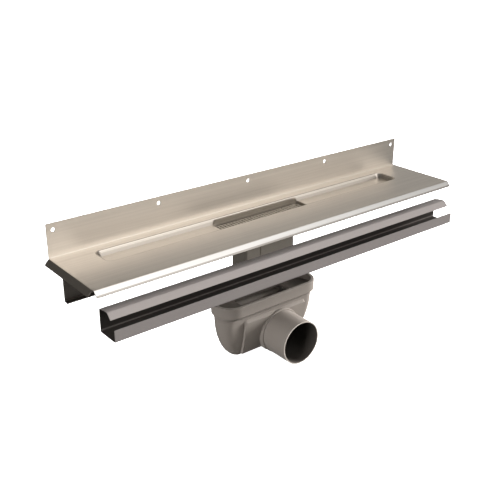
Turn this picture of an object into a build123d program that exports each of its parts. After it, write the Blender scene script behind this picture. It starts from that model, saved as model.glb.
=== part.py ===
"""Wall-side linear shower drain, shown taken apart: folded tray, slot profile and trap.

Millimetres. X runs along the wall, +Y points into the wall and +Z points up.
The origin is the middle of the row of wall fixing holes, on the face that meets the wall.
"""
import math
import os

from build123d import *

# Tray sheet and wall flange
SHEET = 1.5
BEND_RADIUS = 1.0
TRAY_LENGTH = 700.0
TRAY_DEPTH = 127.0
FLANGE_HEIGHT = 50.0

# Wall fixing holes
HOLE_COUNT = 5
HOLE_DIAMETER = 6.3
HOLE_FROM_END = 10.0
HOLE_FROM_TOP = 10.0

# Folded edges of the tray
FOLD_OUT = 7.0
FOLD_DOWN = 8.6
FOLD_CORNER = 3.0
CORNER_RELIEF = 3.0
END_FOLD_FROM_WALL = 2.0

# Pressed trough, and the deeper sump in its middle
TROUGH_FROM_END = 59.0
TROUGH_FROM_WALL = 20.0
TROUGH_WIDTH = 41.5
TROUGH_DEPTH = 8.5
TROUGH_RUN = 3.0
TROUGH_CORNER = 10.0
TROUGH_RIM_RADIUS = 1.8
SUMP_LENGTH = 178.0
SUMP_MARGIN = 0.6
SUMP_DEPTH = 11.5
SUMP_RUN = 0.5
SUMP_CORNER = 6.0

# Rectangular outlet under the middle of the sump
SPIGOT_LENGTH = 102.0
SPIGOT_WIDTH = 37.0
SPIGOT_REACH = 105.0
SPIGOT_WALL = 1.5
SPIGOT_CORNER = 4.5

# Bent feet under the tray's ends
FOOT_SHEET = 1.5
FOOT_LENGTH = 54.0
FOOT_END_INSET = 1.0
FOOT_FROM_WALL = 38.0
FOOT_REACH = 51.0
FOOT_LIP = 7.0
FOOT_TOP_FLANGE = 14.0

# Hair sieve lying in the sump
SIEVE_SHEET = 1.0
SIEVE_HEIGHT = 7.0
SIEVE_CLEARANCE = 1.0
SIEVE_SLOT_WIDTH = 2.5
SIEVE_SLOT_PITCH = 6.0
SIEVE_SLOT_MARGIN = 2.0

# Slot profile
PROFILE_LENGTH = 675.0
PROFILE_SHEET = 1.5
PROFILE_BEND = 1.0
PROFILE_DEPTH = 38.5
PROFILE_BACK_HEIGHT = 34.5
PROFILE_RIDGE_HEIGHT = 37.2
PROFILE_RIDGE_START = 15.0
PROFILE_RIDGE_END = 21.5
PROFILE_BROW_REACH = 29.5
PROFILE_BROW_HEIGHT = 29.0
PROFILE_LIP_HEIGHT = 18.0
PROFILE_SLOTS = 8
PROFILE_SLOT_LENGTH = 50.0
PROFILE_SLOT_WIDTH = 14.0
PROFILE_SLOT_FROM_LIP = 6.0

# Trap moulding: mouth collar and tub
TRAP_WALL = 3.0
MOUTH_LENGTH = 203.0
MOUTH_WIDTH = 62.0
MOUTH_CORNER = 30.0
MOUTH_WALL = 5.0
MOUTH_RIM_RADIUS = 1.5
COLLAR_HEIGHT = 19.0
COLLAR_STEP = 2.0
COLLAR_LOWER_RADIUS = 1.2
LEDGE_DEPTH = 18.0
LEDGE_THICKNESS = 3.0
LEDGE_WIDTH = 4.0
SHOULDER_HEIGHT = 8.0
TUB_LENGTH = 196.0
TUB_WIDTH = 41.0
TUB_CORNER = 19.5
TUB_HEIGHT = 83.5
TUB_END_ROUND = 44.0
TUB_SIDE_TAPER = 0.1
TUB_SIDE_ROUND = 9.0
TUB_SIDE_START = 10.0
TUB_LAST_ANGLE = 82.0
TUB_SECTIONS = 9

# Trap moulding: raised front panel, ring and outlet pipe
PANEL_LEFT = -57.0
PANEL_RIGHT = 73.0
PANEL_RAISE = 4.5
PANEL_CORNER = 4.0
PANEL_FROM_COLLAR = 15.0
PIPE_DIAMETER = 75.0
PIPE_WALL = 2.0
PIPE_X = 16.0
PIPE_FROM_WALL = 118.0
PIPE_FROM_MOUTH = 73.9
PIPE_BACK_WALL = 3.0
ROOT_STEP = 1.0
RING_STEP = 2.5
ROOT_DIAMETER = PIPE_DIAMETER + 2 * ROOT_STEP
RING_DIAMETER = PIPE_DIAMETER + 2 * RING_STEP
RING_FROM_WALL = 67.0
RING_LENGTH = 12.0
RING_EDGE_RADIUS = 1.2

# Rubber seal in the trap's mouth
MOUTH_SEAL_THICKNESS = 5.0
MOUTH_SEAL_CLEARANCE = 0.2
SPIGOT_CLEARANCE = 0.2
SPIGOT_BELOW_SEAL = 4.0

# Odour trap insert hanging in the outlet
INSERT_WALL = 1.2
INSERT_CLEARANCE = 0.6
NECK_HEIGHT = 12.0
EAR_REACH = 5.0
EAR_WIDTH = 24.0
EAR_THICKNESS = 1.5
RING_HEIGHT = 4.0
RING_DEPTH = 1.6
RING_FROM_TOP = 4.0
RING_CLEARANCE = 0.1
RING_GROOVE_CORNER = 1.0
DIP_LENGTH = 48.0
DIP_REACH = 104.0
CUP_LENGTH = 92.0
CUP_REACH = 116.0
CUP_RIM_REACH = 54.0
CUP_CLEARANCE = 0.2

# How far the taken-apart pieces are moved from their seats for display
PROFILE_SHOWN_FORWARD = 91.5
PROFILE_SHOWN_DOWN = 69.0
TRAP_SHOWN_DOWN = 55.6
TRAP_SHOWN_ALONG = 3.0

# Levels and lines that the sizes above give
PLATE_Z = -(FLANGE_HEIGHT - HOLE_FROM_TOP)
TROUGH_LENGTH = TRAY_LENGTH - 2 * TROUGH_FROM_END
TROUGH_Y = -(TROUGH_FROM_WALL + TROUGH_WIDTH / 2)
TROUGH_FLOOR_Z = PLATE_Z - TROUGH_DEPTH
SUMP_FLOOR_Z = TROUGH_FLOOR_Z - SUMP_DEPTH
SUMP_WIDTH = TROUGH_WIDTH - 2 * SUMP_MARGIN
OUTLET_Y = TROUGH_Y
SPIGOT_BOTTOM_Z = PLATE_Z - SPIGOT_REACH
BORE_LENGTH = SPIGOT_LENGTH - 2 * SPIGOT_WALL
BORE_WIDTH = SPIGOT_WIDTH - 2 * SPIGOT_WALL
BORE_CORNER = SPIGOT_CORNER - SPIGOT_WALL
INSERT_CORNER = BORE_CORNER - INSERT_CLEARANCE
SEAL_TOP_Z = SPIGOT_BOTTOM_Z + SPIGOT_BELOW_SEAL + MOUTH_SEAL_THICKNESS
MOUTH_Z = SEAL_TOP_Z + LEDGE_DEPTH - MOUTH_SEAL_THICKNESS
COLLAR_Z = MOUTH_Z - COLLAR_HEIGHT
SHOULDER_Z = COLLAR_Z - SHOULDER_HEIGHT
TUB_BOTTOM_Z = COLLAR_Z - TUB_HEIGHT
PIPE_Z = MOUTH_Z - PIPE_FROM_MOUTH
PANEL_LOW_Z = TUB_BOTTOM_Z + PANEL_RAISE


def rounded_box(length, width, corner, low, high, y=0.0):
    """A block with rounded upright edges between two levels, centred on x = 0."""
    with BuildPart() as block:
        with BuildSketch(Plane.XY.offset(low)):
            with Locations((0, y)):
                RectangleRounded(length, width, corner)
        extrude(amount=high - low)
    return block.part


def pan(length, width, corner, run, high, low, y):
    """A block whose sides lean in by run from its top to its bottom, as a pressed recess does."""
    with BuildPart() as block:
        with BuildSketch(Plane.XY.offset(high)):
            with Locations((0, y)):
                RectangleRounded(length, width, corner)
        with BuildSketch(Plane.XY.offset(low)):
            with Locations((0, y)):
                RectangleRounded(length - 2 * run, width - 2 * run, corner - run)
        loft()
    return block.part


def pan_shell_block(length, width, corner, run, high, low, y):
    """The pan that lies one sheet thickness outside pan, from the sheet's top to below its floor."""
    depth = high - low
    side = SHEET * math.hypot(depth, run) / depth
    deeper_run = run * (depth + SHEET) / depth
    return pan(length + 2 * side, width + 2 * side, corner + side, deeper_run, high, low - SHEET, y)


def bent_sheet(points, radii, thickness, side, length, plane):
    """A bent sheet: the path of one face in plane, thickened to a side and extruded."""
    with BuildPart() as strip:
        with BuildSketch(plane):
            with BuildLine():
                FilletPolyline(*points, radius=radii)
                offset(amount=thickness, side=side, closed=True)
            make_face()
        extrude(amount=length)
    return strip.part


def across(x):
    """A plane square to the drain's length, with its own x along +Y and its own y along +Z."""
    return Plane(origin=(x, 0, 0), x_dir=(0, 1, 0), z_dir=(1, 0, 0))


def round_fold_tips(sheet, tips):
    """Rounds the short edges through the sheet at the free corners of a fold."""
    short = sheet.edges().filter_by(lambda edge: abs(edge.length - SHEET) < 0.01)
    chosen = [edge for edge in short if any((edge.center() - tip).length < 2 * SHEET for tip in tips)]
    return fillet(chosen, FOLD_CORNER)


def front_strip():
    """The flange, plate and front edge, bent from one strip along the wall."""
    front = -TRAY_DEPTH
    underside = PLATE_Z - SHEET
    tip_y = front - FOLD_OUT
    tip_z = PLATE_Z - FOLD_DOWN
    points = [(0, PLATE_Z + FLANGE_HEIGHT), (0, underside), (front, underside), (tip_y, tip_z)]
    radii = [BEND_RADIUS + SHEET, BEND_RADIUS]
    strip = bent_sheet(points, radii, SHEET, Side.RIGHT, TRAY_LENGTH, across(-TRAY_LENGTH / 2))
    tips = [Vector(side * TRAY_LENGTH / 2, tip_y, tip_z) for side in (-1, 1)]
    return round_fold_tips(strip, tips)


def end_fold(side):
    """The folded edge at one end of the plate, with a strip of the plate to join it by."""
    edge_x = side * TRAY_LENGTH / 2
    underside = PLATE_Z - SHEET
    rear = -END_FOLD_FROM_WALL
    front = -TRAY_DEPTH + CORNER_RELIEF
    tip_x = edge_x + side * FOLD_OUT
    tip_z = PLATE_Z - FOLD_DOWN
    points = [(edge_x - side * FOLD_OUT, underside), (edge_x, underside), (tip_x, tip_z)]
    plane = Plane(origin=(0, rear, 0), x_dir=(1, 0, 0), z_dir=(0, -1, 0))
    upward = Side.LEFT if side > 0 else Side.RIGHT
    fold = bent_sheet(points, BEND_RADIUS, SHEET, upward, rear - front, plane)
    return round_fold_tips(fold, [Vector(tip_x, y, tip_z) for y in (rear, front)])


def round_trough_rim(sheet):
    """Rounds the edge where the plate turns down into the trough."""
    rim = sheet.edges().filter_by(
        lambda edge: abs(edge.center().Z - PLATE_Z) < 0.01
        and abs(edge.center().Y - TROUGH_Y) < TROUGH_WIDTH / 2 + 0.01
        and abs(edge.center().X) < TROUGH_LENGTH / 2 + 0.01
    )
    return fillet(rim, TROUGH_RIM_RADIUS)


def wall_holes():
    """The row of fixing holes through the wall flange, as cutters."""
    pitch = (TRAY_LENGTH - 2 * HOLE_FROM_END) / (HOLE_COUNT - 1)
    first = -TRAY_LENGTH / 2 + HOLE_FROM_END
    cutter = Cylinder(HOLE_DIAMETER / 2, 4 * SHEET, rotation=(90, 0, 0))
    return [Pos(first + pitch * number, 0, 0) * cutter for number in range(HOLE_COUNT)]


def gutter_tray():
    """One stainless sheet: flange, plate, folded edges, pressed trough and sump."""
    trough = (TROUGH_LENGTH, TROUGH_WIDTH, TROUGH_CORNER, TROUGH_RUN, PLATE_Z, TROUGH_FLOOR_Z, TROUGH_Y)
    sump = (SUMP_LENGTH, SUMP_WIDTH, SUMP_CORNER, SUMP_RUN, PLATE_Z - SHEET, SUMP_FLOOR_Z, TROUGH_Y)
    outlet = rounded_box(
        BORE_LENGTH, BORE_WIDTH, BORE_CORNER, SUMP_FLOOR_Z - 2 * SHEET, SUMP_FLOOR_Z + SHEET, OUTLET_Y
    )
    sheet = front_strip() + end_fold(-1) + end_fold(1)
    sheet = sheet + pan_shell_block(*trough) - pan(*trough)
    sheet = round_trough_rim(sheet)
    sheet = sheet + pan_shell_block(*sump) - pan(*trough) - pan(*sump) - outlet
    for cutter in wall_holes():
        sheet = sheet - cutter
    return sheet


def outlet_spigot():
    """The flat outlet tube that is welded under the sump's floor."""
    top = SUMP_FLOOR_Z - SHEET
    tube = rounded_box(SPIGOT_LENGTH, SPIGOT_WIDTH, SPIGOT_CORNER, SPIGOT_BOTTOM_Z, top, OUTLET_Y)
    bore = rounded_box(BORE_LENGTH, BORE_WIDTH, BORE_CORNER, SPIGOT_BOTTOM_Z, top, OUTLET_Y)
    return tube - bore


def mounting_foot(side):
    """A bent sheet foot: top flange on the plate's underside, web, and a lip turned forward."""
    web_y = -FOOT_FROM_WALL
    low = PLATE_Z - FOOT_REACH
    top = PLATE_Z - SHEET
    points = [(web_y + FOOT_TOP_FLANGE, top), (web_y, top), (web_y, low), (web_y - FOOT_LIP, low)]
    radii = [BEND_RADIUS + FOOT_SHEET, BEND_RADIUS]
    outer = TRAY_LENGTH / 2 - FOOT_END_INSET
    start = -outer if side < 0 else outer - FOOT_LENGTH
    return bent_sheet(points, radii, FOOT_SHEET, Side.LEFT, FOOT_LENGTH, across(start))


def hair_sieve():
    """A shallow sieve plate with short skirts, standing on the sump's floor."""
    top = SUMP_FLOOR_Z + SIEVE_HEIGHT
    shrink = SUMP_RUN + SIEVE_CLEARANCE
    length = SUMP_LENGTH - 2 * shrink
    width = SUMP_WIDTH - 2 * shrink
    corner = SUMP_CORNER - shrink
    plate = rounded_box(length, width, corner, SUMP_FLOOR_Z, top, TROUGH_Y)
    hollow = rounded_box(
        length - 2 * SIEVE_SHEET,
        width - 2 * SIEVE_SHEET,
        corner - SIEVE_SHEET,
        SUMP_FLOOR_Z,
        top - SIEVE_SHEET,
        TROUGH_Y,
    )
    sieve = plate - hollow
    slot_length = width - 2 * SIEVE_SLOT_MARGIN
    count = int((length - 2 * SIEVE_SLOT_MARGIN) // SIEVE_SLOT_PITCH)
    with BuildPart() as slots:
        with BuildSketch(Plane.XY.offset(top - 2 * SIEVE_SHEET)):
            with Locations((0, TROUGH_Y)):
                with GridLocations(SIEVE_SLOT_PITCH, 0, count, 1):
                    SlotOverall(slot_length, SIEVE_SLOT_WIDTH, rotation=90)
        extrude(amount=3 * SIEVE_SHEET)
    return sieve - slots.part


def slot_profile():
    """The bent channel with its entry slot in front, seated on the plate over the trough."""
    back = TROUGH_Y + PROFILE_DEPTH / 2
    front = back - PROFILE_DEPTH
    points = [
        (front, PLATE_Z + PROFILE_LIP_HEIGHT),
        (front, PLATE_Z),
        (back, PLATE_Z),
        (back, PLATE_Z + PROFILE_BACK_HEIGHT),
        (back - PROFILE_RIDGE_START, PLATE_Z + PROFILE_RIDGE_HEIGHT),
        (back - PROFILE_RIDGE_END, PLATE_Z + PROFILE_RIDGE_HEIGHT),
        (back - PROFILE_BROW_REACH, PLATE_Z + PROFILE_BROW_HEIGHT),
    ]
    bend = PROFILE_BEND + PROFILE_SHEET
    channel = bent_sheet(
        points, bend, PROFILE_SHEET, Side.LEFT, PROFILE_LENGTH, across(-PROFILE_LENGTH / 2)
    )
    pitch = TROUGH_LENGTH / PROFILE_SLOTS
    slot_y = front + PROFILE_SHEET + PROFILE_SLOT_FROM_LIP + PROFILE_SLOT_WIDTH / 2
    with BuildPart() as slots:
        with BuildSketch(Plane.XY.offset(PLATE_Z - PROFILE_SHEET)):
            with Locations((0, slot_y)):
                with GridLocations(pitch, 0, PROFILE_SLOTS, 1):
                    SlotOverall(PROFILE_SLOT_LENGTH, PROFILE_SLOT_WIDTH)
        extrude(amount=3 * PROFILE_SHEET)
    return channel - slots.part


def shoulder(grow):
    """The sloping step from the collar down to the tub, grow outside its outer face."""
    with BuildPart() as block:
        with BuildSketch(Plane.XY.offset(COLLAR_Z)):
            with Locations((0, OUTLET_Y)):
                step = 2 * (grow - COLLAR_STEP)
                RectangleRounded(MOUTH_LENGTH + step, MOUTH_WIDTH + step, MOUTH_CORNER + step / 2)
        with BuildSketch(Plane.XY.offset(SHOULDER_Z)):
            with Locations((0, OUTLET_Y)):
                RectangleRounded(TUB_LENGTH + 2 * grow, TUB_WIDTH + 2 * grow, TUB_CORNER + grow)
        loft()
    return block.part


def tub(grow):
    """The tub of the trap as a lofted block, grow outside its outer face, rounding in to its bottom."""
    height = TUB_HEIGHT - SHOULDER_HEIGHT + grow
    last = math.radians(TUB_LAST_ANGLE)
    side_start = math.radians(TUB_SIDE_START)
    with BuildPart() as block:
        for number in range(TUB_SECTIONS):
            angle = last * number / (TUB_SECTIONS - 1)
            drop = height * math.sin(angle) / math.sin(last)
            end_in = TUB_END_ROUND * (1 - math.cos(angle))
            side_angle = max(0.0, angle - side_start) / (last - side_start) * last
            side_in = TUB_SIDE_TAPER * drop + TUB_SIDE_ROUND * (1 - math.cos(side_angle))
            with BuildSketch(Plane.XY.offset(SHOULDER_Z - drop)):
                with Locations((0, OUTLET_Y)):
                    RectangleRounded(
                        TUB_LENGTH + 2 * (grow - end_in),
                        TUB_WIDTH + 2 * (grow - side_in),
                        TUB_CORNER + grow - side_in,
                    )
        loft()
    return block.part


def panel_window():
    """A block in front of the trap that bounds the raised panel: upright sides and a sloping top."""
    face = OUTLET_Y - TUB_WIDTH / 2 - PANEL_RAISE
    high = COLLAR_Z - PANEL_FROM_COLLAR - PANEL_RAISE
    top = high + OUTLET_Y - face
    with BuildPart() as window:
        with BuildSketch(across(PANEL_LEFT)):
            Polygon((face, PANEL_LOW_Z), (face, high), (OUTLET_Y, top), (OUTLET_Y, PANEL_LOW_Z), align=None)
        extrude(amount=PANEL_RIGHT - PANEL_LEFT)
    slopes = window.edges().filter_by(
        lambda edge: abs(edge.center().Z - (high + top) / 2) < 0.1 and abs(edge.tangent_at(0.5).X) < 0.1
    )
    return fillet(slopes, PANEL_CORNER)


def pipe_block(diameter, near, far):
    """A round bar along the outlet pipe's axis, between two distances from the wall."""
    middle = -(near + far) / 2
    return Pos(PIPE_X, middle, PIPE_Z) * Cylinder(diameter / 2, far - near, rotation=(90, 0, 0))


def trap_outside():
    """The outer form of the trap: collar, shoulder, tub, raised front panel, ring and outlet pipe."""
    collar = rounded_box(MOUTH_LENGTH, MOUTH_WIDTH, MOUTH_CORNER, COLLAR_Z, MOUTH_Z, OUTLET_Y)
    collar = fillet(collar.edges().group_by(Axis.Z)[-1], MOUTH_RIM_RADIUS)
    collar = fillet(collar.edges().group_by(Axis.Z)[0], COLLAR_LOWER_RADIUS)
    ring = pipe_block(RING_DIAMETER, RING_FROM_WALL - RING_LENGTH, RING_FROM_WALL)
    ring = fillet(ring.edges().group_by(Axis.Y)[0], RING_EDGE_RADIUS)
    below_panel = Pos(PIPE_X, OUTLET_Y, PANEL_LOW_Z - RING_DIAMETER / 2) * Box(
        2 * RING_DIAMETER, 2 * RING_DIAMETER, RING_DIAMETER
    )
    panel = tub(PANEL_RAISE) & panel_window()
    root = pipe_block(ROOT_DIAMETER, -OUTLET_Y, RING_FROM_WALL)
    pipe = pipe_block(PIPE_DIAMETER, RING_FROM_WALL, PIPE_FROM_WALL)
    return collar + shoulder(0) + tub(0) + panel + (ring - below_panel) + root + pipe


def trap_body():
    """The trap moulding, seated under the outlet, with its mouth, ledge, chamber and bore hollowed out."""
    inner_length = MOUTH_LENGTH - 2 * MOUTH_WALL
    inner_width = MOUTH_WIDTH - 2 * MOUTH_WALL
    inner_corner = MOUTH_CORNER - MOUTH_WALL
    ledge_z = MOUTH_Z - LEDGE_DEPTH
    mouth = rounded_box(inner_length, inner_width, inner_corner, ledge_z, MOUTH_Z, OUTLET_Y)
    throat = rounded_box(
        inner_length - 2 * LEDGE_WIDTH,
        inner_width - 2 * LEDGE_WIDTH,
        inner_corner - LEDGE_WIDTH,
        ledge_z - LEDGE_THICKNESS,
        ledge_z,
        OUTLET_Y,
    )
    below = Pos(0, OUTLET_Y, ledge_z - LEDGE_THICKNESS - TUB_HEIGHT) * Box(
        2 * MOUTH_LENGTH, 2 * MOUTH_WIDTH, 2 * TUB_HEIGHT
    )
    chamber = (shoulder(-TRAP_WALL) + tub(-TRAP_WALL)) & below
    bore = pipe_block(PIPE_DIAMETER - 2 * PIPE_WALL, PIPE_BACK_WALL - OUTLET_Y, PIPE_FROM_WALL)
    return trap_outside() - mouth - throat - chamber - bore


def mouth_seal():
    """The rubber seal on the mouth's ledge, with the slot that grips the outlet."""
    seal_z = MOUTH_Z - LEDGE_DEPTH
    gap = 2 * (MOUTH_WALL + MOUTH_SEAL_CLEARANCE)
    outer = rounded_box(
        MOUTH_LENGTH - gap,
        MOUTH_WIDTH - gap,
        MOUTH_CORNER - gap / 2,
        seal_z,
        seal_z + MOUTH_SEAL_THICKNESS,
        OUTLET_Y,
    )
    slot = rounded_box(
        SPIGOT_LENGTH + 2 * SPIGOT_CLEARANCE,
        SPIGOT_WIDTH + 2 * SPIGOT_CLEARANCE,
        SPIGOT_CORNER + SPIGOT_CLEARANCE,
        seal_z,
        seal_z + MOUTH_SEAL_THICKNESS,
        OUTLET_Y,
    )
    return outer - slot


def dip_tube():
    """The insert's neck, ears and dip tube, hanging by its ears from the sump's floor."""
    neck_length = BORE_LENGTH - 2 * INSERT_CLEARANCE
    neck_width = BORE_WIDTH - 2 * INSERT_CLEARANCE
    neck_low = SUMP_FLOOR_Z - NECK_HEIGHT
    ear_top = SUMP_FLOOR_Z + EAR_THICKNESS
    neck = rounded_box(neck_length, neck_width, INSERT_CORNER, neck_low, SUMP_FLOOR_Z, OUTLET_Y)
    ears = rounded_box(
        BORE_LENGTH + 2 * EAR_REACH, EAR_WIDTH, INSERT_CORNER, SUMP_FLOOR_Z, ear_top, OUTLET_Y
    )
    tube_width = neck_width - 2 * (INSERT_WALL + CUP_CLEARANCE)
    tube_low = PLATE_Z - DIP_REACH
    tube = rounded_box(DIP_LENGTH, tube_width, INSERT_CORNER, tube_low, neck_low, OUTLET_Y)
    funnel = rounded_box(
        neck_length - 2 * (RING_DEPTH + INSERT_WALL),
        tube_width - 2 * INSERT_WALL,
        INSERT_CORNER,
        neck_low + INSERT_WALL,
        ear_top,
        OUTLET_Y,
    )
    bore = rounded_box(
        DIP_LENGTH - 2 * INSERT_WALL,
        tube_width - 2 * INSERT_WALL,
        INSERT_CORNER,
        tube_low,
        neck_low + INSERT_WALL,
        OUTLET_Y,
    )
    return neck + ears + tube - funnel - bore - ring_groove()


def ring_groove():
    """The space round the insert's neck that its sealing ring fills."""
    high = SUMP_FLOOR_Z - RING_FROM_TOP
    low = high - RING_HEIGHT
    length = BORE_LENGTH - 2 * RING_CLEARANCE
    width = BORE_WIDTH - 2 * RING_CLEARANCE
    depth = 2 * (RING_DEPTH + INSERT_CLEARANCE - RING_CLEARANCE)
    outer = rounded_box(length, width, BORE_CORNER - RING_CLEARANCE, low, high, OUTLET_Y)
    inner = rounded_box(length - depth, width - depth, RING_GROOVE_CORNER, low, high, OUTLET_Y)
    return outer - inner


def seal_cup():
    """The cup clipped round the dip tube, which holds the water seal."""
    outer_width = BORE_WIDTH - 2 * INSERT_CLEARANCE
    low = PLATE_Z - CUP_REACH
    rim = PLATE_Z - CUP_RIM_REACH
    neck_low = SUMP_FLOOR_Z - NECK_HEIGHT
    cup = rounded_box(CUP_LENGTH, outer_width, INSERT_CORNER, low, rim, OUTLET_Y)
    tabs = rounded_box(DIP_LENGTH, outer_width, INSERT_CORNER, rim, neck_low, OUTLET_Y)
    hollow = rounded_box(
        CUP_LENGTH - 2 * INSERT_WALL,
        outer_width - 2 * INSERT_WALL,
        INSERT_CORNER,
        low + INSERT_WALL,
        neck_low,
        OUTLET_Y,
    )
    return cup + tabs - hollow


def main():
    """Builds each node, moves the taken-apart ones to where they are shown, and writes the files."""
    os.makedirs("parts", exist_ok=True)
    shown_profile = Pos(0, -PROFILE_SHOWN_FORWARD, -PROFILE_SHOWN_DOWN)
    shown_trap = Pos(TRAP_SHOWN_ALONG, 0, -TRAP_SHOWN_DOWN)
    nodes = {
        "gutter_tray": gutter_tray(),
        "outlet_spigot": outlet_spigot(),
        "mounting_foot_left": mounting_foot(-1),
        "mounting_foot_right": mounting_foot(1),
        "hair_sieve": hair_sieve(),
        "slot_profile": shown_profile * slot_profile(),
        "trap_body": shown_trap * trap_body(),
        "mouth_seal": shown_trap * mouth_seal(),
        "dip_tube": dip_tube(),
        "dip_tube_ring": ring_groove(),
        "seal_cup": seal_cup(),
    }
    for name, shape in nodes.items():
        export_step(shape, f"parts/{name}.step")
        box = shape.bounding_box()
        reach = f"z {box.min.Z:.1f} to {box.max.Z:.1f}"
        print(f"{name}: {len(shape.solids())} solid, {shape.volume:.0f} mm3, {reach}")


main()
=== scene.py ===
import math

import bmesh
import bpy
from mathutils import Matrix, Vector


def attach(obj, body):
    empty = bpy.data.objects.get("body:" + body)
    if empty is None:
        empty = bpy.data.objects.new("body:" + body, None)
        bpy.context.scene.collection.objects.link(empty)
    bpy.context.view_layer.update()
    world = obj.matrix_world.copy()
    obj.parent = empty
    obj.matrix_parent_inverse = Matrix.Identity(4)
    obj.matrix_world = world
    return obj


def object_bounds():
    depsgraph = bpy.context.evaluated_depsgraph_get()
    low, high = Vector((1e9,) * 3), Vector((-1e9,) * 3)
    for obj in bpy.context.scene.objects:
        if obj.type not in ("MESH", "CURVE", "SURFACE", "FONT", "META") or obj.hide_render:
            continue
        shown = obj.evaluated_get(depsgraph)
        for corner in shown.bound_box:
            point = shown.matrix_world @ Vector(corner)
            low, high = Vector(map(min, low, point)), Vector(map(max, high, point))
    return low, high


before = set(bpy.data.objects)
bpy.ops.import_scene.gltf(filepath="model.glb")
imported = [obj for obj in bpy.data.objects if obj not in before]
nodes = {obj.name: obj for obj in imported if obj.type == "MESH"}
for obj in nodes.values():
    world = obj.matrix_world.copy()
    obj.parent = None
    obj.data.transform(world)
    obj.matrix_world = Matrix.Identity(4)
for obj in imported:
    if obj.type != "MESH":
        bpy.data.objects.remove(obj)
cad_low, cad_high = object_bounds()
print("nodes:", sorted(nodes))
print("CAD box:", [round(value, 4) for value in (*cad_low, *cad_high)])

# %% [markdown]
# ## Camera
# The drain is seen from the left and from above, through a slightly long lens. The place and the lens were
# worked out from the tray's corners and its five holes, which are 170 mm apart, so the picture and the part
# agree. The camera could also be aimed with a Track To constraint, but angles are easier to read.
# %% Put the camera in place
CAMERA_PLACE = (-0.7496, -0.9265, 0.3958)
CAMERA_TURN = -38.39
CAMERA_TILT_DOWN = 22.75
LENS_MM = 58.48
SENSOR_MM = 36.0

camera_data = bpy.data.cameras.new("camera")
camera_data.lens = LENS_MM
camera_data.sensor_width = SENSOR_MM
camera = bpy.data.objects.new("camera", camera_data)
camera.location = CAMERA_PLACE
camera.rotation_euler = (math.radians(90 - CAMERA_TILT_DOWN), 0.0, math.radians(CAMERA_TURN))
bpy.context.scene.collection.objects.link(camera)
bpy.context.scene.camera = camera
bpy.context.scene.view_settings.view_transform = "Standard"
print("camera:", tuple(camera.location), "lens", camera_data.lens)

# %% [markdown]
# ## Writing materials as sums
# A finish such as brushed steel is a sum of patterns: fine lines, faint blotches, a base value. In the node
# editor each sum is a chain of Math nodes. Here a small class lets Python's own + and * make those nodes,
# which keeps a recipe on one readable line.
# %% A field: a number that varies over the surface
class Field:
    """A value that varies over a surface. Sums and products of fields become Math nodes."""

    def __init__(self, tree, socket):
        self.tree = tree
        self.socket = socket

    def math(self, operation, *others):
        node = self.tree.nodes.new("ShaderNodeMath")
        node.operation = operation
        for place, value in enumerate((self, *others)):
            if isinstance(value, Field):
                self.tree.links.new(value.socket, node.inputs[place])
            else:
                node.inputs[place].default_value = value
        return Field(self.tree, node.outputs[0])

    def __add__(self, other):
        return self.math("ADD", other)

    def __sub__(self, other):
        return self.math("SUBTRACT", other)

    def __mul__(self, other):
        return self.math("MULTIPLY", other)

    def __radd__(self, other):
        return self.math("ADD", other)

    def __rsub__(self, other):
        return self.math("MULTIPLY_ADD", -1.0, other)

    def __rmul__(self, other):
        return self.math("MULTIPLY", other)

    def between(self, low, high):
        """0 below low, 1 above high, and a smooth rise between them."""
        node = self.tree.nodes.new("ShaderNodeMapRange")
        node.interpolation_type = "SMOOTHSTEP"
        self.tree.links.new(self.socket, node.inputs["Value"])
        node.inputs["From Min"].default_value = low
        node.inputs["From Max"].default_value = high
        return Field(self.tree, node.outputs["Result"])

    def band(self, low, high, soft):
        """1 from low to high, falling to 0 over soft on both sides."""
        return self.between(low - soft, low) * (1 - self.between(high, high + soft))


print("helper ready:", Field.__name__)

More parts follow.
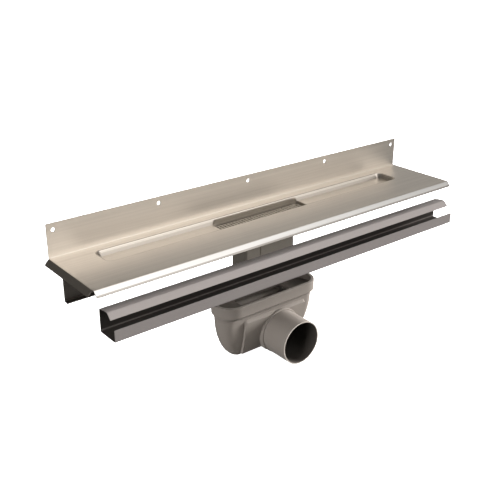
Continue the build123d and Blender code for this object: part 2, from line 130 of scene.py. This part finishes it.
# %% [markdown]
# ## A finish and its patterns
# Every finish here is one Principled shader, fed by noise and by places on the piece. The patterns read
# Object coordinates, so that they stay put on the solid and are the same size on every piece. A second small
# class gathers the few nodes that all the finishes need, so a recipe says only what is special about it.
# %% A finish: one shader and what feeds it
class Finish:
    """A material under construction: one Principled shader and the patterns that feed it."""

    def __init__(self, name, **constants):
        self.material = bpy.data.materials.new(name)
        self.material.use_nodes = True
        self.tree = self.material.node_tree
        self.shader = self.tree.nodes["Principled BSDF"]
        for socket, value in constants.items():
            self.shader.inputs[socket.replace("_", " ")].default_value = value
        self.place = self.node("ShaderNodeTexCoord").outputs["Object"]

    def node(self, kind, settings=None, **inputs):
        """A new node with its settings made and its inputs linked or set."""
        new = self.tree.nodes.new(kind)
        for name, value in (settings or {}).items():
            setattr(new, name, value)
        for name, value in inputs.items():
            socket = new.inputs[name.replace("_", " ")]
            if isinstance(value, Field):
                value = value.socket
            if isinstance(value, bpy.types.NodeSocket):
                self.tree.links.new(value, socket)
            else:
                socket.default_value = value
        return new

    def noise(self, scale, stretch=(1, 1, 1), detail=2.0, roughness=0.5):
        """Noise from 0 to 1, drawn out along an axis where stretch is small."""
        scaled = self.node("ShaderNodeMapping", Vector=self.place, Scale=stretch)
        pattern = self.node(
            "ShaderNodeTexNoise", Vector=scaled.outputs[0], Scale=scale, Detail=detail, Roughness=roughness
        )
        return Field(self.tree, pattern.outputs[0])

    def coordinate(self, axis):
        """The place on the object along one axis, in metres."""
        split = self.node("ShaderNodeSeparateXYZ", Vector=self.place)
        return Field(self.tree, split.outputs[axis])

    def round_distance(self, middle, half, corner):
        """Metres outside a rounded rectangle drawn in X and Y; negative inside it."""
        reach = []
        for axis, centre, size in zip("XY", middle, half):
            gap = (self.coordinate(axis) - centre).math("ABSOLUTE") - (size - corner)
            reach.append(gap.math("MAXIMUM", 0.0))
        return (reach[0] * reach[0] + reach[1] * reach[1]).math("SQRT") - corner

    def colours(self, first, second, amount):
        """A colour that goes from first to second as amount goes from 0 to 1."""
        mix = self.node("ShaderNodeMix", {"data_type": "RGBA"})
        mix.inputs[6].default_value = (*first, 1.0)
        mix.inputs[7].default_value = (*second, 1.0)
        self.tree.links.new(amount.socket, mix.inputs[0])
        return mix.outputs[2]

    def blend(self, colour, second, amount):
        """A colour socket that goes to a second colour as amount goes from 0 to 1."""
        mix = self.node("ShaderNodeMix", {"data_type": "RGBA"})
        self.tree.links.new(colour, mix.inputs[6])
        mix.inputs[7].default_value = (*second, 1.0)
        self.tree.links.new(amount.socket, mix.inputs[0])
        return mix.outputs[2]

    def feed(self, socket, value):
        """Links a field or a colour to one of the shader's inputs."""
        source = value.socket if isinstance(value, Field) else value
        self.tree.links.new(source, self.shader.inputs[socket])

    def bump(self, height, distance, strength=1.0):
        """Raises the surface's shading by a height field, distance metres from 0 to 1."""
        node = self.node("ShaderNodeBump", Height=height, Distance=distance, Strength=strength)
        self.feed("Normal", node.outputs[0])


print("helper ready:", Finish.__name__)

# %% [markdown]
# ## Stainless sheet
# The tray is rolled stainless sheet: a warm grey metal with a fine grain along its length. The grain could be
# an anisotropic reflection, but that needs tangents. Noise drawn out along X gives the same soft streaks, in
# the colour, in the roughness and as very small bumps, and it stays put from every side.
# %% The grain of rolled sheet
SHEET_GRAIN = 0.00003


def stainless(name, dark, light, rough):
    """Rolled stainless sheet with its grain along X: the finish, its colour and its roughness."""
    finish = Finish(name, Metallic=1.0)
    grain = finish.noise(1400.0, stretch=(0.015, 1, 1), detail=3.0)
    streaks = finish.noise(240.0, stretch=(0.010, 1, 1), detail=4.0, roughness=0.65).between(0.3, 0.7)
    cloud = finish.noise(9.0, stretch=(0.6, 1, 1), detail=2.0)
    finish.bump(grain, SHEET_GRAIN, 0.5)
    shade = grain * 0.2 + streaks * 0.4 + cloud * 0.4
    return finish, finish.colours(dark, light, shade), grain * 0.06 + streaks * 0.05 + cloud * 0.05 + rough


def plain_stainless(name, dark, light, rough):
    """The sheet finish without the tray's painted shade and highlights."""
    finish, colour, roughness = stainless(name, dark, light, rough)
    finish.feed("Base Color", colour)
    finish.feed("Roughness", roughness)
    return finish.material


spigot_finish = plain_stainless("stainless_outlet", (0.60, 0.555, 0.50), (0.66, 0.615, 0.555), 0.34)
sieve_finish = plain_stainless("stainless_sieve", (0.60, 0.56, 0.50), (0.68, 0.635, 0.575), 0.46)
# The feet are the tray's stainless painted far darker: painted shade, for the shade under the plate.
shaded_foot_finish = plain_stainless("stainless_foot_painted_shade", (0.19, 0.175, 0.158), (0.23, 0.212, 0.195), 0.42)
print("made", spigot_finish.name, sieve_finish.name, shaded_foot_finish.name)

# %% [markdown]
# ## Painted shade and highlights on the tray
# The trough is pressed into the tray's sheet. Its colour holds painted shade: a dark line on the plate all
# round the rim, a darker band along the foot of the trough's wall, and the deep sump in the middle, darker
# still. The
# folds hold painted light too: the front one has a painted highlight, neutral and bright, with painted shade
# on its face below, and the two ends have painted shade. The flange is rougher than the plate. These marks
# could be painted on by hand. Masks from the place on the sheet keep them sharp, and in line with the solid.
# %% Where the marks are, in metres, and their colours
PLATE_TOP = -0.0400
TROUGH_MIDDLE, TROUGH_HALF, TROUGH_CORNER = (0.0, -0.04075), (0.291, 0.02075), 0.010
WALL_FOOT, WALL_MIDDLE = -0.0482, -0.0440
SUMP_DARK, SUMP_CLEAR = -0.0580, -0.0425
SUMP_FADE, SUMP_END = 0.0700, 0.0900
FLANGE_FOOT, FLANGE_DULL = -0.0385, -0.0300
TRAY_END, FRONT_FOLD, FRONT_EDGE = 0.3500, -0.1275, -0.1334

# Tints of painted light: shade for the rim line, the wall's foot, the fold's front face, the sump and the
# ends, and a highlight for the front fold.
EDGE_SHADE_TINT = (0.30, 0.27, 0.24)
SUMP_SHADE_TINT = (0.15, 0.135, 0.117)
END_SHADE_TINT = (0.30, 0.275, 0.24)
FRONT_HIGHLIGHT_TINT = (0.84, 0.84, 0.84)
print("trough marks reach x =", TROUGH_HALF[0], "and sump marks x =", SUMP_END)


# %% The tray's finish
def trough_shade(finish, height):
    """Painted shade: a dark line round the trough's rim, and a darker band at the foot of its wall."""
    rim = finish.round_distance(TROUGH_MIDDLE, TROUGH_HALF, TROUGH_CORNER)
    above = height.between(PLATE_TOP + 0.0005, PLATE_TOP + 0.0010)
    on_plate = height.between(PLATE_TOP - 0.0025, PLATE_TOP - 0.0015) * (1 - above)
    # Painted shade: a dark line along the rim where the plate turns down.
    rim_shade_line = rim.band(0.0005, 0.0014, 0.0006) * on_plate
    wall = (1 - rim.between(-0.0003, 0.0)) * (1 - height.between(PLATE_TOP - 0.0018, PLATE_TOP - 0.0012))
    # Painted shade on the lower band of the trough's wall.
    foot = wall * height.band(WALL_FOOT, WALL_MIDDLE, 0.0008)
    return (rim_shade_line * 0.65 + foot * 0.30).math("MINIMUM", 1.0)


def painted_light_stainless(name, dark, light, rough):
    """The tray's sheet with painted light: painted shade round the trough, in the sump, on the front fold's
    face and on the ends, and a painted highlight on the front fold.
    """
    finish, colour, roughness = stainless(name, dark, light, rough)
    height, depth = finish.coordinate("Z"), finish.coordinate("Y")
    along = finish.coordinate("X").math("ABSOLUTE")
    # Painted shade in the deep sump, fading towards its two ends.
    sump = (1 - height.between(SUMP_DARK, SUMP_CLEAR)) * (1 - along.between(SUMP_FADE, SUMP_END) * 0.7)
    sump = sump * (1 - along.between(SUMP_END, SUMP_END + 0.0012))
    # Painted highlight: the front fold is painted neutral and bright.
    front_fold_highlight = 1 - depth.between(FRONT_FOLD - 0.001, FRONT_FOLD)
    # Painted shade on the fold's front face below it.
    front_face_shade = 1 - depth.between(FRONT_EDGE, FRONT_EDGE + 0.0006)
    # Painted shade on the two folded ends.
    folded_end_shade = along.between(TRAY_END, TRAY_END + 0.0012)
    colour = finish.blend(colour, EDGE_SHADE_TINT, trough_shade(finish, height))
    colour = finish.blend(colour, FRONT_HIGHLIGHT_TINT, front_fold_highlight)
    colour = finish.blend(colour, EDGE_SHADE_TINT, front_face_shade * 0.7)
    colour = finish.blend(colour, SUMP_SHADE_TINT, sump * 0.9)
    colour = finish.blend(colour, END_SHADE_TINT, folded_end_shade * 0.75)
    finish.feed("Base Color", colour)
    finish.feed("Roughness", roughness + sump * 0.2 + height.between(FLANGE_FOOT, FLANGE_DULL) * 0.12)
    return finish.material


sheet_finish = painted_light_stainless("stainless_sheet", (0.70, 0.655, 0.60), (0.88, 0.83, 0.77), 0.28)
print("made", sheet_finish.name)

# %% [markdown]
# ## Coated profile
# The slot profile is the same kind of sheet with a dark, slightly purple coating that keeps a metal sheen.
# Inside the channel the coat is painted darker as painted shade, with a thin paler line along the foot of its
# back as a painted highlight. The inside could be a second material on its own faces, but a mask from the
# channel's cross-section needs no faces picked.
# %% The channel's inside faces, as distances in metres
CHANNEL_BACK, CHANNEL_LIP = -0.1130, -0.1515
CHANNEL_FLOOR, CHANNEL_HIGH = -0.1090, -0.0718
# Each sloping face is a direction in Y and in Z, and an offset.
TOP_FACE = (-0.1772, -0.9842, -0.0933)
NOSE_FACE = (0.7157, -0.6984, 0.0462)
FACE_STEP = (0.0006, 0.0010)
CREASE_NEAR, CREASE_FAR = 0.0015, 0.0050
CREASE_LOW, CREASE_HIGH = -0.1066, -0.1050


def behind(face, depth, height):
    """Metres behind a sloping face of the channel."""
    across, up, offset = face
    return depth * across + height * up + offset


def channel_inside(depth, height):
    """1 on the faces that look into the channel, and 0 on its outer faces."""
    gaps = (
        CHANNEL_BACK - depth,
        depth - CHANNEL_LIP,
        height - CHANNEL_FLOOR,
        behind(TOP_FACE, depth, height),
        CHANNEL_HIGH - height,
        behind(NOSE_FACE, depth, height),
    )
    return math.prod(gap.between(*FACE_STEP) for gap in gaps)


print("channel from y =", CHANNEL_LIP, "to", CHANNEL_BACK)

# %% The profile's finish
# Painted shade inside the channel, and a painted highlight on the bend at the foot of its back.
INSIDE_SHADE_TINT = (0.032, 0.028, 0.025)
CREASE_HIGHLIGHT_TINT = (0.13, 0.118, 0.11)


def coated_metal():
    """Dark metal coating with a faint grain along the profile, painted shade inside and a painted highlight
    in the channel.
    """
    finish = Finish("dark_coating", Metallic=0.35)
    grain = finish.noise(1100.0, stretch=(0.02, 1, 1), detail=3.0)
    cloud = finish.noise(14.0, stretch=(0.4, 1, 1))
    colour = finish.colours((0.205, 0.186, 0.181), (0.255, 0.234, 0.226), grain * 0.5 + cloud * 0.5)
    depth, height = finish.coordinate("Y"), finish.coordinate("Z")
    # Painted shade on all the channel's inside faces.
    inside = channel_inside(depth, height)
    # Painted highlight: a thin paler line where the channel's back meets its floor.
    near_back = 1 - (CHANNEL_BACK - depth).between(CREASE_NEAR, CREASE_FAR)
    crease = inside * near_back * height.band(CREASE_LOW, CREASE_HIGH, 0.0006)
    colour = finish.blend(colour, INSIDE_SHADE_TINT, inside)
    colour = finish.blend(colour, CREASE_HIGHLIGHT_TINT, crease)
    finish.feed("Base Color", colour)
    finish.feed("Roughness", grain * 0.10 + 0.42)
    finish.bump(grain, SHEET_GRAIN, 0.5)
    return finish.material


coating_finish = coated_metal()
print("made", coating_finish.name)

# %% [markdown]
# ## Moulded plastics and rubber
# The trap is injection moulded: its colour is even, and its surface has a very fine skin that softens the
# highlights. The hidden insert is white and a little glossier, and the seals are black rubber. One recipe
# with other values makes them all, because they differ only in colour, gloss and how coarse the skin is.
# %% The moulded skin, and the insert's and the seals' finishes
def moulded(name, dark, light, rough, skin):
    """A moulded plastic or rubber skin with faint flow marks: the finish and its colour."""
    finish = Finish(name)
    fine = finish.noise(900.0, detail=2.0)
    flow = finish.noise(18.0, stretch=(1, 1, 0.5), detail=2.0)
    finish.feed("Roughness", fine * 0.08 + flow * 0.06 + rough)
    finish.bump(fine, skin, 0.5)
    return finish, finish.colours(dark, light, flow)


def plain_moulded(name, dark, light, rough, skin):
    """The moulded skin in one colour all over."""
    finish, colour = moulded(name, dark, light, rough, skin)
    finish.feed("Base Color", colour)
    return finish.material


insert_finish = plain_moulded("white_plastic", (0.70, 0.70, 0.67), (0.78, 0.78, 0.75), 0.28, 0.00003)
rubber_finish = plain_moulded("black_rubber", (0.070, 0.060, 0.051), (0.090, 0.078, 0.067), 0.62, 0.00006)
print("made", insert_finish.name, rubber_finish.name)

# %% [markdown]
# ## The trap's own colours
# Hardly any light reaches the inside of the trap's pipe and mouth, and the photographed pipe's cut end is
# paler than its skin. In a small scene the lamps reach in too well, so a mask by the distance from the pipe's
# axis and from the mouth's outline darkens the insides, and a thin one at the pipe's end makes the pale ring.
# %% The trap's finish
PIPE_X, PIPE_Z, PIPE_BORE, PIPE_END = 0.0190, -0.2525, 0.0355, -0.1180
MOUTH_MIDDLE, MOUTH_HALF, MOUTH_CORNER = (0.003, -0.04075), (0.0965, 0.026), 0.025
LEDGE_LEVEL, MOUTH_TOP = -0.1960, -0.1786
BORE_TINT = (0.012, 0.010, 0.009)
MOUTH_TINT = (0.105, 0.088, 0.075)
CUT_TINT = (0.55, 0.50, 0.45)


def trap_plastic(name, dark, light, rough, skin):
    """The trap's moulded skin, with a dark bore, a dim mouth and a pale cut end on the pipe."""
    finish, colour = moulded(name, dark, light, rough, skin)
    aside, height, depth = (finish.coordinate(axis) for axis in "XZY")
    aside, rise = aside - PIPE_X, height - PIPE_Z
    radius = (aside * aside + rise * rise).math("SQRT")
    bore = 1 - radius.between(PIPE_BORE + 0.0002, PIPE_BORE + 0.0006)
    outline = finish.round_distance(MOUTH_MIDDLE, MOUTH_HALF, MOUTH_CORNER)
    mouth = (1 - outline.between(0.0002, 0.0006)) * height.band(LEDGE_LEVEL, MOUTH_TOP - 0.0015, 0.0012)
    cut_end = (1 - depth.between(PIPE_END + 0.0003, PIPE_END + 0.0006)) * (1 - bore)
    colour = finish.blend(colour, BORE_TINT, bore * 0.8)
    colour = finish.blend(colour, MOUTH_TINT, mouth * 0.8)
    colour = finish.blend(colour, CUT_TINT, cut_end * 0.6)
    finish.feed("Base Color", colour)
    return finish.material


trap_finish = trap_plastic("grey_plastic", (0.190, 0.168, 0.150), (0.215, 0.192, 0.172), 0.38, 0.00005)
print("made", trap_finish.name)

# %% [markdown]
# ## Lap on the outlet
# The outlet's front shows two upright lines 40 mm apart, taken here as the edges of a lap in its sheet. A lap
# could be part of the solid, but it is thinner than anything else there. So it is one thin block, which
# stands 0.9 mm proud of the front and reaches a little into the sheet so that no gap shows.
# %% Make the outlet's lap
LAP_LEFT, LAP_RIGHT, LAP_LOW, LAP_HIGH = -0.021, 0.019, -0.128, -0.0622
OUTLET_FRONT, LAP_PROUD, LAP_SUNK = -0.05925, 0.0009, 0.0002
LAP_EDGE = 0.0003


def block(name, low, high, material, edge):
    """A rectangular block between two corners, with bevelled edges, that rides the root body."""
    mesh = bpy.data.meshes.new(name)
    shape = bmesh.new()
    bmesh.ops.create_cube(shape, size=1.0)
    bmesh.ops.scale(shape, verts=shape.verts[:], vec=Vector(high) - Vector(low))
    bmesh.ops.translate(shape, verts=shape.verts[:], vec=(Vector(low) + Vector(high)) / 2)
    bmesh.ops.bevel(
        shape, geom=shape.edges[:], offset=edge, segments=2, profile=0.5, affect="EDGES", material=-1
    )
    shape.to_mesh(mesh)
    shape.free()
    mesh.materials.append(material)
    piece = bpy.data.objects.new(name, mesh)
    bpy.context.scene.collection.objects.link(piece)
    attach(piece, "root")
    return piece


lap = block(
    "outlet_lap",
    (LAP_LEFT, OUTLET_FRONT - LAP_PROUD, LAP_LOW),
    (LAP_RIGHT, OUTLET_FRONT + LAP_SUNK, LAP_HIGH),
    spigot_finish,
    LAP_EDGE,
)
print("made", lap.name, "with", len(lap.data.polygons), "faces")

# %% [markdown]
# ## Dress the solids
# Each CAD node keeps its shape and takes its finish. A narrow bevel on its edges catches the light as a
# folded or moulded edge does. The bevel could be in the solids, but a modifier leaves them as they are.
# %% Give each node its finish and its edge
EDGE_ANGLE = 40

FINISHES = {
    "gutter_tray": (sheet_finish, 0.0003),
    "outlet_spigot": (spigot_finish, 0.0003),
    "mounting_foot_left": (shaded_foot_finish, 0.0003),
    "mounting_foot_right": (shaded_foot_finish, 0.0003),
    "hair_sieve": (sieve_finish, 0.0002),
    "slot_profile": (coating_finish, 0.0003),
    "trap_body": (trap_finish, 0.0),
    "mouth_seal": (rubber_finish, 0.0004),
    "dip_tube": (insert_finish, 0.0002),
    "dip_tube_ring": (rubber_finish, 0.0),
    "seal_cup": (insert_finish, 0.0002),
}

for name, (material, edge) in FINISHES.items():
    piece = nodes[name]
    for slot in piece.material_slots:
        slot.material = material
    if edge:
        bevel = piece.modifiers.new("edge", "BEVEL")
        bevel.width = edge
        bevel.segments = 2
        bevel.limit_method = "ANGLE"
        bevel.angle_limit = math.radians(EDGE_ANGLE)
    print(name, "->", material.name)

# %% [markdown]
# ## Floor and backdrop
# The drain is shown on plain white, so a wide pale floor lies under the trap and a tall round wall stands far
# behind it. White paint alone would look grey there, so the paint also glows. A bright world could do the
# same, but the steel would mirror it. Both are left out of mirrored and bounced light and of shadows, so the
# drain looks as it would in front of a distant white paper, and its underside stays dark.
# %% Make the floor and the backdrop
FLOOR_HALF = 14.0
BACKDROP_RADIUS = 13.0
BACKDROP_HEIGHT = 16.0
PAPER_GLOW = 1.0

paper_finish = Finish("floor_paint", Roughness=0.9, Emission_Strength=PAPER_GLOW)
paper_finish.shader.inputs["Emission Color"].default_value = (1.0, 1.0, 1.0, 1.0)
paper_cloud = paper_finish.noise(0.8)
paper_finish.feed("Base Color", paper_finish.colours((0.90, 0.90, 0.90), (0.92, 0.92, 0.92), paper_cloud))


def paper(name, shape):
    """A sheet of the glowing paper, made from a bmesh, that only the camera sees."""
    mesh = bpy.data.meshes.new(name)
    shape.to_mesh(mesh)
    shape.free()
    mesh.materials.append(paper_finish.material)
    sheet = bpy.data.objects.new(name, mesh)
    bpy.context.scene.collection.objects.link(sheet)
    sheet.visible_glossy = False
    sheet.visible_diffuse = False
    sheet.visible_shadow = False
    return sheet


ground = bmesh.new()
bmesh.ops.create_grid(ground, x_segments=1, y_segments=1, size=FLOOR_HALF)
bmesh.ops.translate(ground, verts=ground.verts[:], vec=(0.0, 0.0, cad_low.z))
floor = paper("floor", ground)

tube = bmesh.new()
bmesh.ops.create_cone(
    tube, cap_ends=False, segments=96, radius1=BACKDROP_RADIUS, radius2=BACKDROP_RADIUS, depth=BACKDROP_HEIGHT
)
bmesh.ops.reverse_faces(tube, faces=tube.faces[:])
bmesh.ops.translate(tube, verts=tube.verts[:], vec=(0.0, 0.0, cad_low.z + BACKDROP_HEIGHT / 2))
backdrop = paper("backdrop", tube)
print("floor at z =", round(cad_low.z, 4), "and", round(floor.dimensions.x, 1), "m wide")
print("backdrop:", round(backdrop.dimensions.x, 1), "m wide and", round(backdrop.dimensions.z, 1), "m high")

# %% [markdown]
# ## Sky
# Sheet metal shows what it mirrors, so the sky does most of the work. Following a line of sight that bounces
# off the plate, the folds and the flange tells how bright the studio was on each side: bright overhead and in
# front on the right, faint from below there and towards the wall, and dim elsewhere. A studio picture could
# be wrapped round the scene, but a sum of soft lobes, each aimed along one such direction, can be read and
# changed by hand.
# %% Make the sky
world = bpy.data.worlds.new("sky")
world.use_nodes = True
bpy.context.scene.world = world
sky = world.node_tree
direction = sky.nodes.new("ShaderNodeTexCoord").outputs["Generated"]

SKY_COLOUR = (1.0, 0.965, 0.915, 1.0)
SKY_BASE = 0.12
# Each lobe: azimuth (0 towards the wall, 90 to the right), elevation and reach in degrees, and power.
SKY_LOBES = [
    (45, 20, 30, 0.26),
    (157, 22, 36, 1.42),
    (142, 53, 33, 1.20),
    (150, -24, 30, 0.20),
    (60, 78, 36, 0.95),
]


def lobe(azimuth, elevation, reach):
    """1 towards one direction, falling smoothly to 0 at reach degrees from it."""
    turn, rise = math.radians(azimuth), math.radians(elevation)
    dot = sky.nodes.new("ShaderNodeVectorMath")
    dot.operation = "DOT_PRODUCT"
    sky.links.new(direction, dot.inputs[0])
    dot.inputs[1].default_value = (
        math.sin(turn) * math.cos(rise), math.cos(turn) * math.cos(rise), math.sin(rise)
    )
    return Field(sky, dot.outputs["Value"]).between(math.cos(math.radians(reach)), 1.0)


strength = sum((lobe(*aim) * power for *aim, power in SKY_LOBES), SKY_BASE)
background = sky.nodes["Background"]
background.inputs["Color"].default_value = SKY_COLOUR
sky.links.new(strength.socket, background.inputs["Strength"])
print("sky lobes:", len(SKY_LOBES))

# %% [markdown]
# ## Lamps
# The sky alone leaves the plastic trap flat. Two large soft boxes far away shape it: a strong one on the
# right, which draws the trap's bright side, and a weak one on the left. Lamps nearer by would need less
# power, but they would light the two ends of this long drain unevenly. Both are hidden from mirrors, so that
# no bright square shows in the steel.
# %% Add soft lamps
LAMP_SIZE = 3.4
LAMP_AIM = (0.0, 0.0, -0.1)


def soft_lamp(name, place, power):
    """A square soft box that faces the drain, with its power in watts."""
    data = bpy.data.lights.new(name, "AREA")
    data.size = LAMP_SIZE
    data.energy = power
    lamp = bpy.data.objects.new(name, data)
    lamp.location = place
    lamp.rotation_euler = (Vector(LAMP_AIM) - Vector(place)).to_track_quat("-Z", "Y").to_euler()
    lamp.visible_glossy = False
    bpy.context.scene.collection.objects.link(lamp)
    return lamp


left = soft_lamp("left", (-7.0, -1.2, 1.8), 600.0)
right = soft_lamp("right", (8.0, -2.0, 1.7), 3300.0)
print("lamps:", left.name, left.data.energy, "W and", right.name, right.data.energy, "W")
